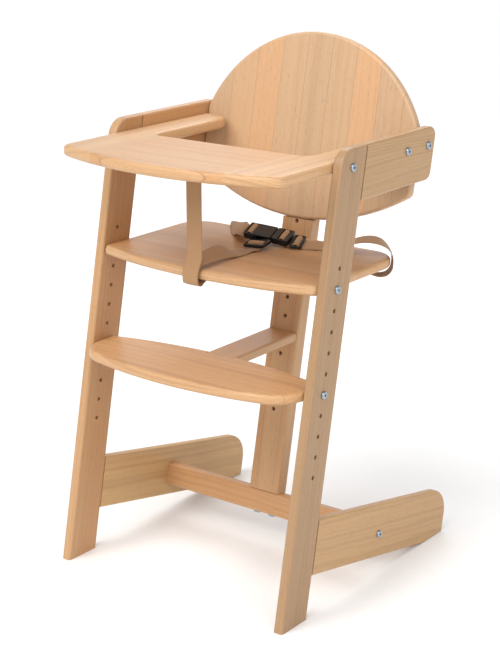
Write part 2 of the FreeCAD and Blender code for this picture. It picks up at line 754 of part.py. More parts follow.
def make_socket():
    solid = plate(socket_end, mouth_x, buckle_width, buckle_thickness, buckle_corner, buckle_edge)
    cavity = box(mouth_x - socket_depth, mouth_x + 1, -cavity_half_width, cavity_half_width,
                 -cavity_half_height, cavity_half_height)
    window_x = mouth_x - window_lip - window_length
    windows = box(window_x, window_x + window_length, -buckle_width, buckle_width,
                  -cavity_half_height, cavity_half_height)
    step_x = socket_end + socket_end_bar + two_slots
    thin = box(socket_end - 1, step_x, -buckle_width, buckle_width, end_top, buckle_thickness)
    return cut_all(solid, [cavity, windows, thin] + slots(socket_end + socket_end_bar, bar_width, buckle_thickness))


def make_plug():
    x0 = mouth_x + plug_gap
    solid = plate(x0, plug_end, buckle_width, buckle_thickness, buckle_corner, buckle_edge)
    step_x = plug_end - plug_end_bar - two_slots
    thin = box(step_x, plug_end + 1, -buckle_width, buckle_width, end_top, buckle_thickness)
    pocket = box(x0 - 1, prong_x + prong_heel + plug_gap, prong_y - prong_width / 2 - prong_swing_room,
                 prong_y + prong_width / 2 + plug_gap, -prong_thickness / 2 - prong_gap, prong_thickness / 2 + prong_gap)
    pockets = [pocket, pocket.mirror(V(0, 0, 0), Y)]
    tongue = box(mouth_x - tongue_length, x0 + 1, -tongue_width / 2, tongue_width / 2, -cavity_half_height + plug_gap,
                 cavity_half_height - plug_gap)
    return cut_all(solid, [thin] + slots(step_x, bar_width, buckle_thickness) + pockets).fuse(tongue).removeSplitter()


def make_prong(side):
    """Springy arm, hinged inside the plug, with the pad that a finger presses."""
    arm = box(prong_tip_x, prong_x + prong_heel, prong_y - prong_width / 2, prong_y + prong_width / 2,
              -prong_thickness / 2, prong_thickness / 2)
    pad = box(prong_tip_x, prong_tip_x + pad_length, prong_y - prong_width / 2 - pad_swell, prong_y,
              -prong_thickness / 2, prong_thickness / 2)
    solid = arm.fuse(pad).removeSplitter()
    solid = solid.makeFillet(prong_nose, standing_edges(solid, lambda p: p.x < prong_tip_x + 0.1))
    return solid if side > 0 else solid.mirror(V(0, 0, 0), Y)


def make_slider():
    solid = plate(-slider_length / 2, slider_length / 2, slider_width, slider_thickness, slider_corner, small_edge)
    middle_bar = slider_length - 2 * slider_end_bar - 2 * slot_length
    return cut_all(solid, slots(-slider_length / 2 + slider_end_bar, middle_bar, slider_thickness))


def make_adjuster():
    """Plate with three bars across the crotch strap, lying in front of the buckle."""
    solid = plate(-adjuster_width / 2, adjuster_width / 2, adjuster_length, adjuster_thickness,
                  adjuster_corner, small_edge)
    hole_side = adjuster_width / 2 - adjuster_side_bar
    hole_front, hole_rear = adjuster_end_bar - adjuster_length / 2, -adjuster_middle_bar / 2
    hole = box(-hole_side, hole_side, hole_front, hole_rear, -adjuster_thickness, adjuster_thickness)
    return cut_all(solid, [hole, hole.mirror(V(0, 0, 0), Y)])


save("buckle_socket", laid(make_socket(), buckle_middle, buckle_turn))
save("buckle_plug", laid(make_plug(), buckle_middle, buckle_turn))
save("front_prong", laid(make_prong(-1), buckle_middle, buckle_turn))
save("rear_prong", laid(make_prong(1), buckle_middle, buckle_turn))
save("strap_slider", laid(make_slider(), slider_middle, slider_turn))
save("crotch_adjuster", laid(make_adjuster(), adjuster_middle, adjuster_turn))
save("socket_strap", socket_strap)
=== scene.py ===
import math
import bpy
import numpy as np
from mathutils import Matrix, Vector


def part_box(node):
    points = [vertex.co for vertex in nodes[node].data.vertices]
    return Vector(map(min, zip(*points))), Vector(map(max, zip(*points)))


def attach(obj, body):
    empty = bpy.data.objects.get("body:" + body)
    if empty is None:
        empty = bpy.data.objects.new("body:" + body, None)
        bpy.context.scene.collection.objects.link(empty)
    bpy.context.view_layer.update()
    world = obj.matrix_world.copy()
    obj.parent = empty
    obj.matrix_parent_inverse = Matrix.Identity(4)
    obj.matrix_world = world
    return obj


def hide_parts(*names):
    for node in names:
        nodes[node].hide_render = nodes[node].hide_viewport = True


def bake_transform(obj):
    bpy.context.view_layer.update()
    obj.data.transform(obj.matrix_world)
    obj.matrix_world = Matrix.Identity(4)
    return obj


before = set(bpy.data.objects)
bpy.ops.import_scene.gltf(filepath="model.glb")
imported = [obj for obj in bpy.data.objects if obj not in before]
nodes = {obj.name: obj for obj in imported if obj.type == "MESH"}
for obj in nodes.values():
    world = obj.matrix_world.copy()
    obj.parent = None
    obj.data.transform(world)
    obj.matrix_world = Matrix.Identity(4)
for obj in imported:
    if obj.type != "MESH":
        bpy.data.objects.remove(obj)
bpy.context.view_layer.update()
mm = 0.001

# camera and studio

cameraView = {"place": (1.5111, -2.0217, 1.1718), "turn": 36.85, "down": 17.45, "lens": 116.6}
studio = {
    "sky": (0.95, 0.97, 1.0), "skyStrength": 0.60,
    "floor": (0.90, 0.90, 0.90), "floorSize": 80.0,
    "floorPaint": {"Roughness": 0.9, "Specular IOR Level": 0.1}, "aim": (0, 0, 0.4),
    "sun": {"from": (-0.12, -0.62, 0.74), "spread": 50, "strength": 2.3, "colour": (1.0, 0.985, 0.96)},
    "lights": {
        "fillLight": {"place": (2.5, -1.3, 2.0), "size": 2.0, "power": 30, "colour": (1.0, 0.98, 0.95)},
        "backLight": {"place": (-1.2, 2.0, 2.4), "size": 1.6, "power": 22, "colour": (1.0, 1.0, 1.0)},
    },
}


def makeCamera():
    lens = bpy.data.cameras.new("camera")
    lens.lens = cameraView["lens"]
    lens.sensor_fit = "HORIZONTAL"
    lens.sensor_width = 36
    camera = bpy.data.objects.new("camera", lens)
    camera.location = cameraView["place"]
    camera.rotation_euler = (math.radians(90 - cameraView["down"]), 0, math.radians(cameraView["turn"]))
    bpy.context.scene.collection.objects.link(camera)
    bpy.context.scene.camera = camera
    print("camera placed")


def makeStudio():
    world = bpy.data.worlds.new("studioSky")
    world.use_nodes = True
    sky = world.node_tree.nodes["Background"]
    sky.inputs["Color"].default_value = (*studio["sky"], 1)
    sky.inputs["Strength"].default_value = studio["skyStrength"]
    bpy.context.scene.world = world
    bpy.context.scene.view_settings.view_transform = "Standard"
    sun = bpy.data.lights.new("keySun", "SUN")
    sun.energy = studio["sun"]["strength"]
    sun.angle = math.radians(studio["sun"]["spread"])
    sun.color = studio["sun"]["colour"]
    key = bpy.data.objects.new("keySun", sun)
    key.rotation_euler = Vector(studio["sun"]["from"]).to_track_quat("Z", "Y").to_euler()
    bpy.context.scene.collection.objects.link(key)
    for name, kind in studio["lights"].items():
        lamp = bpy.data.lights.new(name, "AREA")
        lamp.size = kind["size"]
        lamp.energy = kind["power"]
        lamp.color = kind["colour"]
        light = bpy.data.objects.new(name, lamp)
        light.location = kind["place"]
        aim = Vector(studio["aim"]) - Vector(kind["place"])
        light.rotation_euler = aim.to_track_quat("-Z", "Y").to_euler()
        bpy.context.scene.collection.objects.link(light)
    half = studio["floorSize"] / 2
    mesh = bpy.data.meshes.new("floor")
    corners = [(-half, -half, 0), (half, -half, 0), (half, half, 0), (-half, half, 0)]
    mesh.from_pydata(corners, [], [(0, 1, 2, 3)])
    floor = bpy.data.objects.new("floor", mesh)
    bpy.context.scene.collection.objects.link(floor)
    paint = Finish("floorPaint", studio["floorPaint"])
    paint.constant("Base Color", (*studio["floor"], 1))
    mesh.materials.append(paint.material)
    print("studio made")


# shader maths

# colour sockets of a mix, by number because its plain sockets have the same names
mixFirst, mixSecond, mixResult = 6, 7, 2


class Wire:
    # an output socket that can be used in sums
    def __init__(self, finish, socket):
        self.finish = finish
        self.socket = socket

    def maths(self, operation, first, second=0.0):
        return self.finish.node("ShaderNodeMath", {"operation": operation}, {0: first, 1: second})

    def __add__(self, other):
        return self.maths("ADD", self, other)

    def __radd__(self, other):
        return self.maths("ADD", other, self)

    def __sub__(self, other):
        return self.maths("SUBTRACT", self, other)

    def __mul__(self, other):
        return self.maths("MULTIPLY", self, other)

    def __rmul__(self, other):
        return self.maths("MULTIPLY", other, self)

    def __truediv__(self, other):
        return self.maths("DIVIDE", self, other)

    def __abs__(self):
        return self.maths("ABSOLUTE", self)

    def floor(self):
        return self.maths("FLOOR", self)

    def sine(self):
        return self.maths("SINE", self)

    def root(self):
        return self.maths("SQRT", self)

    def part(self):
        return self.maths("FRACT", self)

    # a wave that runs from 0 to 1 and back
    def wave(self):
        return self.sine() * 0.5 + 0.5

    # 0 below the low value, 1 above the high one, smooth between
    def rise(self, low, high):
        return self.finish.node("ShaderNodeMapRange", {"interpolation_type": "SMOOTHSTEP"},
                                {"Value": self, "From Min": low, "From Max": high})


class Finish:
    # one material: constants go on the shader, patterns are linked in
    def __init__(self, name, constants):
        self.material = bpy.data.materials.new(name)
        self.material.use_nodes = True
        self.tree = self.material.node_tree
        self.shader = self.tree.nodes["Principled BSDF"]
        for socket, value in constants.items():
            self.constant(socket, value)

    def constant(self, socket, value):
        self.shader.inputs[socket].default_value = value

    def node(self, kind, settings=None, inputs=None, output=0):
        made = self.tree.nodes.new(kind)
        for key, value in (settings or {}).items():
            setattr(made, key, value)
        for key, value in (inputs or {}).items():
            if isinstance(value, Wire):
                self.tree.links.new(value.socket, made.inputs[key])
            else:
                made.inputs[key].default_value = value
        return Wire(self, made.outputs[output])

    def feed(self, socket, wire):
        self.tree.links.new(wire.socket, self.shader.inputs[socket])

    def place(self):
        return self.node("ShaderNodeTexCoord", output="Object")

    def along(self, place, direction):
        return self.node("ShaderNodeVectorMath", {"operation": "DOT_PRODUCT"},
                         {0: place, 1: direction}, "Value")

    def point(self, x, y, z):
        return self.node("ShaderNodeCombineXYZ", {}, {0: x, 1: y, 2: z})

    def noise(self, point, scale, detail=2.0, rough=0.5):
        return self.node("ShaderNodeTexNoise", {},
                         {"Vector": point, "Scale": scale, "Detail": detail, "Roughness": rough})

    def chance(self, value):
        return self.node("ShaderNodeTexWhiteNoise", {"noise_dimensions": "1D"}, {"W": value}, "Value")

    def blend(self, factor, first, second):
        return self.node("ShaderNodeMix", {"data_type": "RGBA"},
                         {"Factor": factor, mixFirst: first, mixSecond: second}, mixResult)

    def bump(self, height, strength, distance):
        normal = self.node("ShaderNodeBump", {},
                           {"Strength": strength, "Distance": distance, "Height": height})
        self.feed("Normal", normal)


# wood

lean = math.radians(11.5)
outward = (0.0, math.cos(lean), -math.sin(lean))
upward = (0.0, math.sin(lean), math.cos(lean))
sideward = (1.0, 0.0, 0.0)
level = (0.0, 1.0, 0.0)
vertical = (0.0, 0.0, 1.0)

woodColours = {
    "pale": (0.64, 0.388, 0.196, 1), "pink": (0.55, 0.298, 0.134, 1),
    "ring": (0.39, 0.195, 0.088, 1), "pore": (0.24, 0.12, 0.05, 1), "glue": (0.26, 0.135, 0.06, 1),
}

# for each way a board lies: along its grain, across its staves and through its thickness
uprightWay = (upward, outward, sideward)
armrestWay = (level, vertical, sideward)
runnerWay = (outward, upward, sideward)
beamWay = (sideward, upward, outward)
backWay = (upward, sideward, outward)
wideWay = (sideward, level, vertical)
deepWay = (level, sideward, vertical)

boards = {
    # left upright: its low tone is partly real darker wood and partly painted shade, keeping its side that
    # faces away from the key light dark
    "left_upright": {"way": uprightWay, "stave": 0.036, "shift": 0.31, "seed": 3, "tone": 0.66},
    "right_upright": {"way": uprightWay, "stave": 0.036, "shift": 0.55, "seed": 11, "tone": 0.88},
    # left armrest: its low tone is partly real darker wood and partly painted shade, keeping its side that
    # faces away from the key light dark
    "left_armrest": {"way": armrestWay, "stave": 0.2, "shift": 0.4, "seed": 21, "tone": 0.82,
                     "tint": (0.95, 1.0, 0.97)},
    "right_armrest": {"way": armrestWay, "stave": 0.2, "shift": 0.4, "seed": 27, "tone": 1.0},
    "left_runner": {"way": runnerWay, "stave": 0.3, "shift": 0.3, "seed": 31, "tone": 0.92,
                    "tint": (0.96, 1.0, 0.92)},
    "right_runner": {"way": runnerWay, "stave": 0.3, "shift": 0.3, "seed": 38, "tone": 0.98,
                     "tint": (0.96, 1.0, 0.90)},
    "cross_beam": {"way": beamWay, "stave": 0.2, "shift": 0.4, "seed": 43, "tone": 0.96},
    "rear_post": {"way": backWay, "stave": 0.035, "shift": 0.5, "seed": 51, "tone": 0.88},
    "backrest": {"way": backWay, "stave": 0.0485, "shift": 0.35, "seed": 60, "tone": 1.0,
                 "contrast": 3.0, "figure": 0.45, "tint": (1.0, 1.08, 1.25)},
    "seat": {"way": wideWay, "stave": 0.052, "shift": 0.2, "seed": 72, "tone": 1.0},
    "footrest": {"way": wideWay, "stave": 0.050, "shift": 0.6, "seed": 84, "tone": 1.0},
    "footrest_strut": {"way": deepWay, "stave": 0.2, "shift": 0.5, "seed": 91, "tone": 0.88},
    "tray_left_board": {"way": deepWay, "stave": 0.3, "shift": 0.1, "seed": 97, "tone": 1.03},
    "tray_right_board": {"way": deepWay, "stave": 0.3, "shift": 0.9, "seed": 103, "tone": 1.03},
    "tray_middle_board": {"way": wideWay, "stave": 0.0975, "shift": 0.53, "seed": 109, "tone": 1.03},
    "armrest_dowels": {"way": runnerWay, "stave": 0.2, "shift": 0.4, "seed": 121, "tone": 1.0},
    "runner_dowels": {"way": runnerWay, "stave": 0.2, "shift": 0.4, "seed": 127, "tone": 1.0},
    "strut_dowels": {"way": deepWay, "stave": 0.2, "shift": 0.4, "seed": 133, "tone": 1.0},
}


# patterns have waves per metre along and across the grain, and go from nothing at low to full at high
woodGrain = {
    "lacquer": {"Coat Weight": 0.18, "Coat Roughness": 0.22, "Specular IOR Level": 0.42},
    "hue": {"step": 1.7, "start": 0.37}, "cut": {"step": 2.3, "start": 0.71},
    "wander": {"along": 3.2, "across": 9, "cut": 9, "tone": 5, "width": 0.030},
    "heart": {"spread": 0.11, "depth": 0.035, "deeper": 0.03},
    "ring": {"perMetre": 210, "stave": 13.7, "low": 0.44, "high": 0.70, "least": 0.16, "more": 0.26},
    "streak": {"along": 5, "across": 320, "cut": 31, "low": 0.45, "high": 0.8, "strength": 0.30},
    "broad": {"along": 1.6, "across": 34, "hue": 17},
    "pore": {"along": 90, "across": 1500, "low": 0.64, "high": 0.72, "strength": 0.42},
    "glue": {"outer": 0.0007, "inner": 0.0002, "strength": 0.45},
    "pink": {"stave": 0.75, "broad": 0.5, "less": 0.12, "low": 0.05, "high": 0.95},
    "lightness": {"stave": 0.10, "broad": 0.10},
    "roughness": {"least": 0.36, "streak": 0.12, "pore": 0.10},
    "relief": {"streak": 0.5, "pore": 0.8, "glue": 0.8, "ring": 0.3, "strength": 0.25, "distance": 0.0004},
}


def woodFinish(name, board):
    wander, heart, ringed = woodGrain["wander"], woodGrain["heart"], woodGrain["ring"]
    streaky, wide, porous, glued = (woodGrain[key] for key in ("streak", "broad", "pore", "glue"))
    pinkness, lighter, rough = (woodGrain[key] for key in ("pink", "lightness", "roughness"))
    relief = woodGrain["relief"]
    finish = Finish(name + "Wood", woodGrain["lacquer"])
    place = finish.place()
    tint = (*board.get("tint", (1, 1, 1)), 1)
    paint = {part: tuple(a * b for a, b in zip(shade, tint)) for part, shade in woodColours.items()}
    contrast = board.get("contrast", 1.0)
    figure = board.get("figure", 1.0)
    grainWay, staveWay, throughWay = board["way"]
    u = finish.along(place, grainWay)
    v = finish.along(place, staveWay)
    w = finish.along(place, throughWay)
    # stave number, and one chance value each for its tone, colour and cut
    across = v / board["stave"] + board["shift"]
    stave = across.floor()
    tone = finish.chance(stave + board["seed"])
    hue = finish.chance(stave * woodGrain["hue"]["step"] + board["seed"] + woodGrain["hue"]["start"])
    cut = finish.chance(stave * woodGrain["cut"]["step"] + board["seed"] + woodGrain["cut"]["start"])
    # each stave is sawn from its own place in the log, whose heart wanders along the board
    wandering = finish.noise(finish.point(u * wander["along"] + cut * wander["cut"],
                                          v * wander["across"] + tone * wander["tone"],
                                          w * wander["across"]), 1.0, 2.0)
    heartV = v + (wandering - 0.5) * wander["width"] - (cut - 0.5) * heart["spread"]
    heartW = w + heart["depth"] + hue * heart["deeper"]
    fromHeart = (heartV * heartV + heartW * heartW).root()
    rings = finish.node("ShaderNodeTexNoise", {"noise_dimensions": "1D"},
                        {"W": fromHeart * ringed["perMetre"] + stave * ringed["stave"],
                         "Scale": 1.0, "Detail": 2.0, "Roughness": 0.6})
    ring = rings.rise(ringed["low"], ringed["high"])
    streaks = finish.noise(finish.point(u * streaky["along"] + cut * streaky["cut"],
                                        v * streaky["across"], w * streaky["across"]), 1.0, 3.0, 0.65)
    broad = finish.noise(finish.point(u * wide["along"] + hue * wide["hue"],
                                      v * wide["across"], w * wide["across"]), 1.0, 2.0)
    specks = finish.noise(finish.point(u * porous["along"], v * porous["across"],
                                       w * porous["across"]), 1.0, 1.0)
    pores = specks.rise(porous["low"], porous["high"])
    # thin glue line between staves
    edge = abs(across.part() - 0.5)
    glue = edge.rise(0.5 - glued["outer"] / board["stave"], 0.5 - glued["inner"] / board["stave"])
    pink = tone * pinkness["stave"] + broad * pinkness["broad"] - pinkness["less"]
    colour = finish.blend(pink.rise(pinkness["low"], pinkness["high"]), paint["pale"], paint["pink"])
    colour = finish.blend(ring * (ringed["least"] + ringed["more"] * hue) * figure, colour, paint["ring"])
    streakShare = streaks.rise(streaky["low"], streaky["high"]) * (streaky["strength"] * figure)
    colour = finish.blend(streakShare, colour, paint["ring"])
    colour = finish.blend(pores * porous["strength"], colour, paint["pore"])
    colour = finish.blend(glue * glued["strength"], colour, paint["glue"])
    lightness = ((tone - 0.5) * (lighter["stave"] * contrast) + board["tone"]
                 + (broad - 0.5) * lighter["broad"])
    colour = finish.node("ShaderNodeVectorMath", {"operation": "SCALE"}, {0: colour, "Scale": lightness})
    finish.feed("Base Color", colour)
    finish.feed("Roughness", rough["least"] + streaks * rough["streak"] + pores * rough["pore"])
    height = (streaks * relief["streak"] - pores * relief["pore"] - glue * relief["glue"]
              + ring * relief["ring"])
    finish.bump(height, relief["strength"], relief["distance"])
    return finish.material


def wear(node, material):
    mesh = nodes[node].data
    mesh.materials.clear()
    mesh.materials.append(material)


makeCamera()
makeStudio()
for name, board in boards.items():
    wear(name, woodFinish(name, board))
print("wood done")


# metal

zincPlate = {
    "dark": (0.26, 0.33, 0.39, 1), "bright": (0.46, 0.53, 0.59, 1), "mottle": 900.0, "fine": 4000.0,
    "roughness": 0.20, "duller": 0.16, "strength": 0.12, "distance": 0.0001,
}
sleeveBrass = {
    "dark": (0.60, 0.45, 0.20, 1), "bright": (0.78, 0.62, 0.33, 1), "mottle": 700.0,
    "roughness": 0.30, "duller": 0.2,
}
blackPlastic = {
    "gloss": {"Specular IOR Level": 0.28, "Coat Weight": 0.08, "Coat Roughness": 0.10},
    "dark": (0.006, 0.006, 0.007, 1), "bright": (0.014, 0.014, 0.016, 1), "scuffs": 160.0, "grain": 2600.0,
    "roughness": 0.24, "duller": 0.22, "strength": 0.15, "distance": 0.0002,
}


def zincFinish():
    finish = Finish("zincPlate", {"Metallic": 1.0})
    place = finish.place()
    mottled = finish.noise(place, zincPlate["mottle"], 3.0)
    fine = finish.noise(place, zincPlate["fine"], 2.0)
    finish.feed("Base Color", finish.blend(mottled, zincPlate["dark"], zincPlate["bright"]))
    finish.feed("Roughness", zincPlate["roughness"] + mottled * zincPlate["duller"])
    finish.bump(fine, zincPlate["strength"], zincPlate["distance"])
    return finish.material


def brassFinish():
    finish = Finish("sleeveBrass", {"Metallic": 1.0})
    mottled = finish.noise(finish.place(), sleeveBrass["mottle"], 3.0)
    finish.feed("Base Color", finish.blend(mottled, sleeveBrass["dark"], sleeveBrass["bright"]))
    finish.feed("Roughness", sleeveBrass["roughness"] + mottled * sleeveBrass["duller"])
    return finish.material


def plasticFinish():
    finish = Finish("blackPlastic", blackPlastic["gloss"])
    place = finish.place()
    grain = finish.noise(place, blackPlastic["grain"], 2.0)
    scuffs = finish.noise(place, blackPlastic["scuffs"], 3.0)
    finish.feed("Base Color", finish.blend(scuffs, blackPlastic["dark"], blackPlastic["bright"]))
    finish.feed("Roughness", blackPlastic["roughness"] + scuffs * blackPlastic["duller"])
    finish.bump(grain, blackPlastic["strength"], blackPlastic["distance"])
    return finish.material


zinc = zincFinish()
brass = brassFinish()
plastic = plasticFinish()
for name in nodes:
    if name.endswith("_bolts") or name.endswith("_screws") or name == "strap_washers":
        wear(name, zinc)
    elif name.endswith("_inserts"):
        wear(name, brass)
for name in ("buckle_socket", "buckle_plug", "front_prong", "rear_prong", "strap_slider", "crotch_adjuster"):
    wear(name, plastic)
print("metal and plastic done")

# harness webbing, laid out from the middle of the seat's front edge and from its top

seatLow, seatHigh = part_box("seat")
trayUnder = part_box("tray_middle_board")[0][2]
webbing = {
    "width": 30 * mm, "thickness": 1.5 * mm, "step": 1.2 * mm, "leastSteps": 8, "across": 13, "edgePower": 6,
    "body": (0.46, 0.265, 0.13, 1), "shade": (0.35, 0.195, 0.09, 1), "edge": (0.31, 0.17, 0.08, 1),
    "rib": 1.5 * mm, "yarn": 0.9 * mm, "ribBend": 0.9, "patches": 70.0, "fuzz": 2500.0,
    "edgeInner": 1.8 * mm, "edgeOuter": 0.8 * mm, "edgeShare": 0.5,
    "ribShare": 0.45, "yarnShare": 0.25, "patchShare": 0.3, "roughness": 0.72, "rougher": 0.16,
    "ribHeight": 0.6, "yarnHeight": 0.4, "fuzzHeight": 0.4, "strength": 0.5, "distance": 0.0005,
}
stitching = {
    "length": 2.4 * mm, "gap": 1.0 * mm, "radius": 0.32 * mm, "inset": 3 * mm, "sides": 6,
    "rings": (-1, -0.55, 0, 0.55, 1), "swell": (0.12, 0.8, 1, 0.8, 0.12),
    "colour": (0.60, 0.46, 0.32, 1), "shade": (0.46, 0.34, 0.22, 1), "twist": (2600, 1900, 2300),
    "roughness": 0.55, "rougher": 0.15, "strength": 0.3, "distance": 0.0002,
}
under = -16 - 1.1      # middle of a strap that lies against the underside of the seat, in mm

smallPieces = {
    "buckle": {"middle": (1.5, 196.7, 16.5), "yaw": 14, "slope": 6, "tilt": 15},
    "slider": {"middle": (51.4, 206.4, 9.1), "yaw": 19, "slope": 4, "tilt": 16},
    "adjuster": {"middle": (2.5, 162.3, 8.2), "yaw": 4, "slope": -4, "tilt": 10},
}


def pieceTurn(piece):
    # yaw about Z, times slope about Y, times tilt about X
    yaw, slope, tilt = (math.radians(smallPieces[piece][key]) for key in ("yaw", "slope", "tilt"))
    cosYaw, sinYaw = math.cos(yaw), math.sin(yaw)
    cosSlope, sinSlope = math.cos(slope), math.sin(slope)
    cosTilt, sinTilt = math.cos(tilt), math.sin(tilt)
    aboutZ = np.array([[cosYaw, -sinYaw, 0], [sinYaw, cosYaw, 0], [0, 0, 1]])
    aboutY = np.array([[cosSlope, 0, sinSlope], [0, 1, 0], [-sinSlope, 0, cosSlope]])
    aboutX = np.array([[1, 0, 0], [0, cosTilt, -sinTilt], [0, sinTilt, cosTilt]])
    return aboutZ @ aboutY @ aboutX


def onPiece(piece, places, way="along"):
    # rows of a strap that is threaded through a small piece: places are (travel, height) in the piece's own
    # frame, with travel along its X, or along its Y for the strap that comes from the front
    turn = pieceTurn(piece)
    side = turn[:, 1] if way == "along" else turn[:, 0]
    angle = math.degrees(math.atan2(side[1], side[0]))
    roll = math.degrees(math.asin(side[2]))
    rows = []
    for travel, height in places:
        local = (travel, 0, height) if way == "along" else (0, travel, height)
        place = np.array(smallPieces[piece]["middle"]) + turn @ np.array(local)
        rows.append((*place, angle, roll))
    return rows


def smoothPath(rows):
    # cubic through the rows by chord length, with each row's slope taken from the rows beside it
    rows = np.array(rows, float)
    rows[:, :3] = rows[:, :3] * mm + (0, seatLow[1], seatHigh[2])
    gaps = np.linalg.norm(np.diff(rows[:, :3], axis=0), axis=1)
    at = np.concatenate([[0], np.cumsum(gaps)])
    slopes = np.gradient(rows, at, axis=0)
    travel = np.linspace(0, at[-1], max(int(at[-1] / webbing["step"]), webbing["leastSteps"]))
    span = np.clip(np.searchsorted(at, travel, side="right") - 1, 0, len(gaps) - 1)
    t = ((travel - at[span]) / gaps[span])[:, None]
    gap = gaps[span][:, None]
    return ((2 * t**3 - 3 * t**2 + 1) * rows[span] + (t**3 - 2 * t**2 + t) * gap * slopes[span]
            + (3 * t**2 - 2 * t**3) * rows[span + 1] + (t**3 - t**2) * gap * slopes[span + 1])


def strapFrame(rows):
    # middle line, way along it, way across it (square to the line) and the way out of its face
    line = smoothPath(rows)
    middle = line[:, :3]
    way = np.gradient(middle, axis=0)
    way /= np.linalg.norm(way, axis=1)[:, None]
    angle, roll = np.radians(line[:, 3]), np.radians(line[:, 4])
    across = np.stack([np.cos(angle) * np.cos(roll), np.sin(angle) * np.cos(roll), np.sin(roll)], axis=1)
    across -= (across * way).sum(axis=1)[:, None] * way
    across /= np.linalg.norm(across, axis=1)[:, None]
    return middle, way, across, np.cross(way, across)


def makeMesh(name, points, faces):
    mesh = bpy.data.meshes.new(name)
    mesh.from_pydata(points.tolist(), [], faces)
    mesh.polygons.foreach_set("use_smooth", [True] * len(mesh.polygons))
    piece = bpy.data.objects.new(name, mesh)
    bpy.context.scene.collection.objects.link(piece)
    return piece


def tube(rings, around):
    # quads between rings of points, with both ends closed
    ring = np.arange(around)
    nextOne = (ring + 1) % around
    start = (np.arange(rings - 1) * around)[:, None]
    quads = np.stack([start + ring, start + nextOne, start + around + nextOne, start + around + ring], axis=2)
    faces = quads.reshape(-1, 4).tolist()
    faces.append(ring[::-1].tolist())
    faces.append((ring + (rings - 1) * around).tolist())
    return faces


def makeStrap(name, rows):
    # a flat section, rounded at its selvedges, carried along the middle line
    middle, way, across, out = strapFrame(rows)
    u = np.sin(np.linspace(-math.pi / 2, math.pi / 2, webbing["across"]))
    height = (1 - np.abs(u) ** webbing["edgePower"]) ** 0.5 * webbing["thickness"] / 2
    sectionU = np.concatenate([u, u[-2:0:-1]]) * webbing["width"] / 2
    sectionH = np.concatenate([-height, height[-2:0:-1]])
    points = middle[:, None] + across[:, None] * sectionU[:, None] + out[:, None] * sectionH[:, None]
    around = len(sectionU)
    piece = makeMesh(name, points.reshape(-1, 3), tube(len(middle), around))
    travel = np.concatenate([[0], np.cumsum(np.linalg.norm(np.diff(middle, axis=0), axis=1))])
    places = np.stack(np.broadcast_arrays(travel[:, None], sectionU), axis=2).reshape(-1, 2)
    corners = np.zeros(len(piece.data.loops), int)
    piece.data.loops.foreach_get("vertex_index", corners)
    weave = piece.data.uv_layers.new(name="weave")
    weave.data.foreach_set("uv", places[corners].ravel())
    piece.data.materials.append(webFinish)
    return piece


def makeStitches(name, rows, lines, side=1):
    # each line runs from (travel, across) to (travel, across) in metres on one face of a strap;
    # a stitch is a small lens of thread, half sunk in the web
    middle, way, across, out = strapFrame(rows)
    travel = np.concatenate([[0], np.cumsum(np.linalg.norm(np.diff(middle, axis=0), axis=1))])
    pitch = stitching["length"] + stitching["gap"]
    starts = []
    for (travelFrom, acrossFrom), (travelTo, acrossTo) in lines:
        forward, aside = travelTo - travelFrom, acrossTo - acrossFrom
        reach = math.hypot(forward, aside)
        count = max(int(reach / pitch), 1)
        step = (np.arange(count) + 0.5) / count
        turned = math.atan2(aside, forward)
        starts += [(travelFrom + forward * k, acrossFrom + aside * k, turned) for k in step]
    rings = np.array(stitching["rings"])
    swell = np.array(stitching["swell"])
    sides = stitching["sides"]
    around = np.radians(np.arange(sides) * 360.0 / sides)
    points, faces = [], []
    for k, (t, a, turned) in enumerate(starts):
        i = min(int(np.searchsorted(travel, t)), len(middle) - 1)
        heading = way[i] * math.cos(turned) + across[i] * math.sin(turned)
        aside = across[i] * math.cos(turned) - way[i] * math.sin(turned)
        place = middle[i] + across[i] * a + out[i] * side * webbing["thickness"] / 2
        lens = (place + heading * (rings * stitching["length"] / 2)[:, None, None]
                + (aside * np.cos(around)[:, None] + out[i] * np.sin(around)[:, None])
                * (swell * stitching["radius"])[:, None, None])
        points.append(lens.reshape(-1, 3))
        faces += [[corner + k * len(rings) * sides for corner in face] for face in tube(len(rings), sides)]
    piece = makeMesh(name, np.concatenate(points), faces)
    piece.data.materials.append(threadFinish)
    return piece


def webbingFinish():
    finish = Finish("tanWebbing", {"Sheen Weight": 0.25, "Sheen Roughness": 0.5, "Specular IOR Level": 0.25})
    weave = finish.node("ShaderNodeUVMap", {"uv_map": "weave"})
    u = finish.along(weave, (1, 0, 0))
    v = finish.along(weave, (0, 1, 0))
    yarns = v * (2 * math.pi / webbing["yarn"])
    rib = (u * (2 * math.pi / webbing["rib"]) + yarns.sine() * webbing["ribBend"]).wave()
    yarn = yarns.wave()
    patchy = finish.noise(finish.place(), webbing["patches"], 3.0)
    fuzz = finish.noise(finish.place(), webbing["fuzz"], 2.0)
    half = webbing["width"] / 2
    selvedge = abs(v).rise(half - webbing["edgeInner"], half - webbing["edgeOuter"])
    weaveShare = rib * webbing["ribShare"] + yarn * webbing["yarnShare"] + patchy * webbing["patchShare"]
    colour = finish.blend(weaveShare, webbing["shade"], webbing["body"])
    colour = finish.blend(selvedge * webbing["edgeShare"], colour, webbing["edge"])
    finish.feed("Base Color", colour)
    finish.feed("Roughness", webbing["roughness"] + fuzz * webbing["rougher"])
    height = rib * webbing["ribHeight"] + yarn * webbing["yarnHeight"] + fuzz * webbing["fuzzHeight"]
    finish.bump(height, webbing["strength"], webbing["distance"])
    return finish.material


def sewingFinish():
    finish = Finish("sewingThread", {"Specular IOR Level": 0.3})
    twist = finish.along(finish.place(), stitching["twist"]).wave()
    finish.feed("Base Color", finish.blend(twist, stitching["shade"], stitching["colour"]))
    finish.feed("Roughness", stitching["roughness"] + twist * stitching["rougher"])
    finish.bump(twist, stitching["strength"], stitching["distance"])
    return finish.material


webFinish = webbingFinish()
threadFinish = sewingFinish()

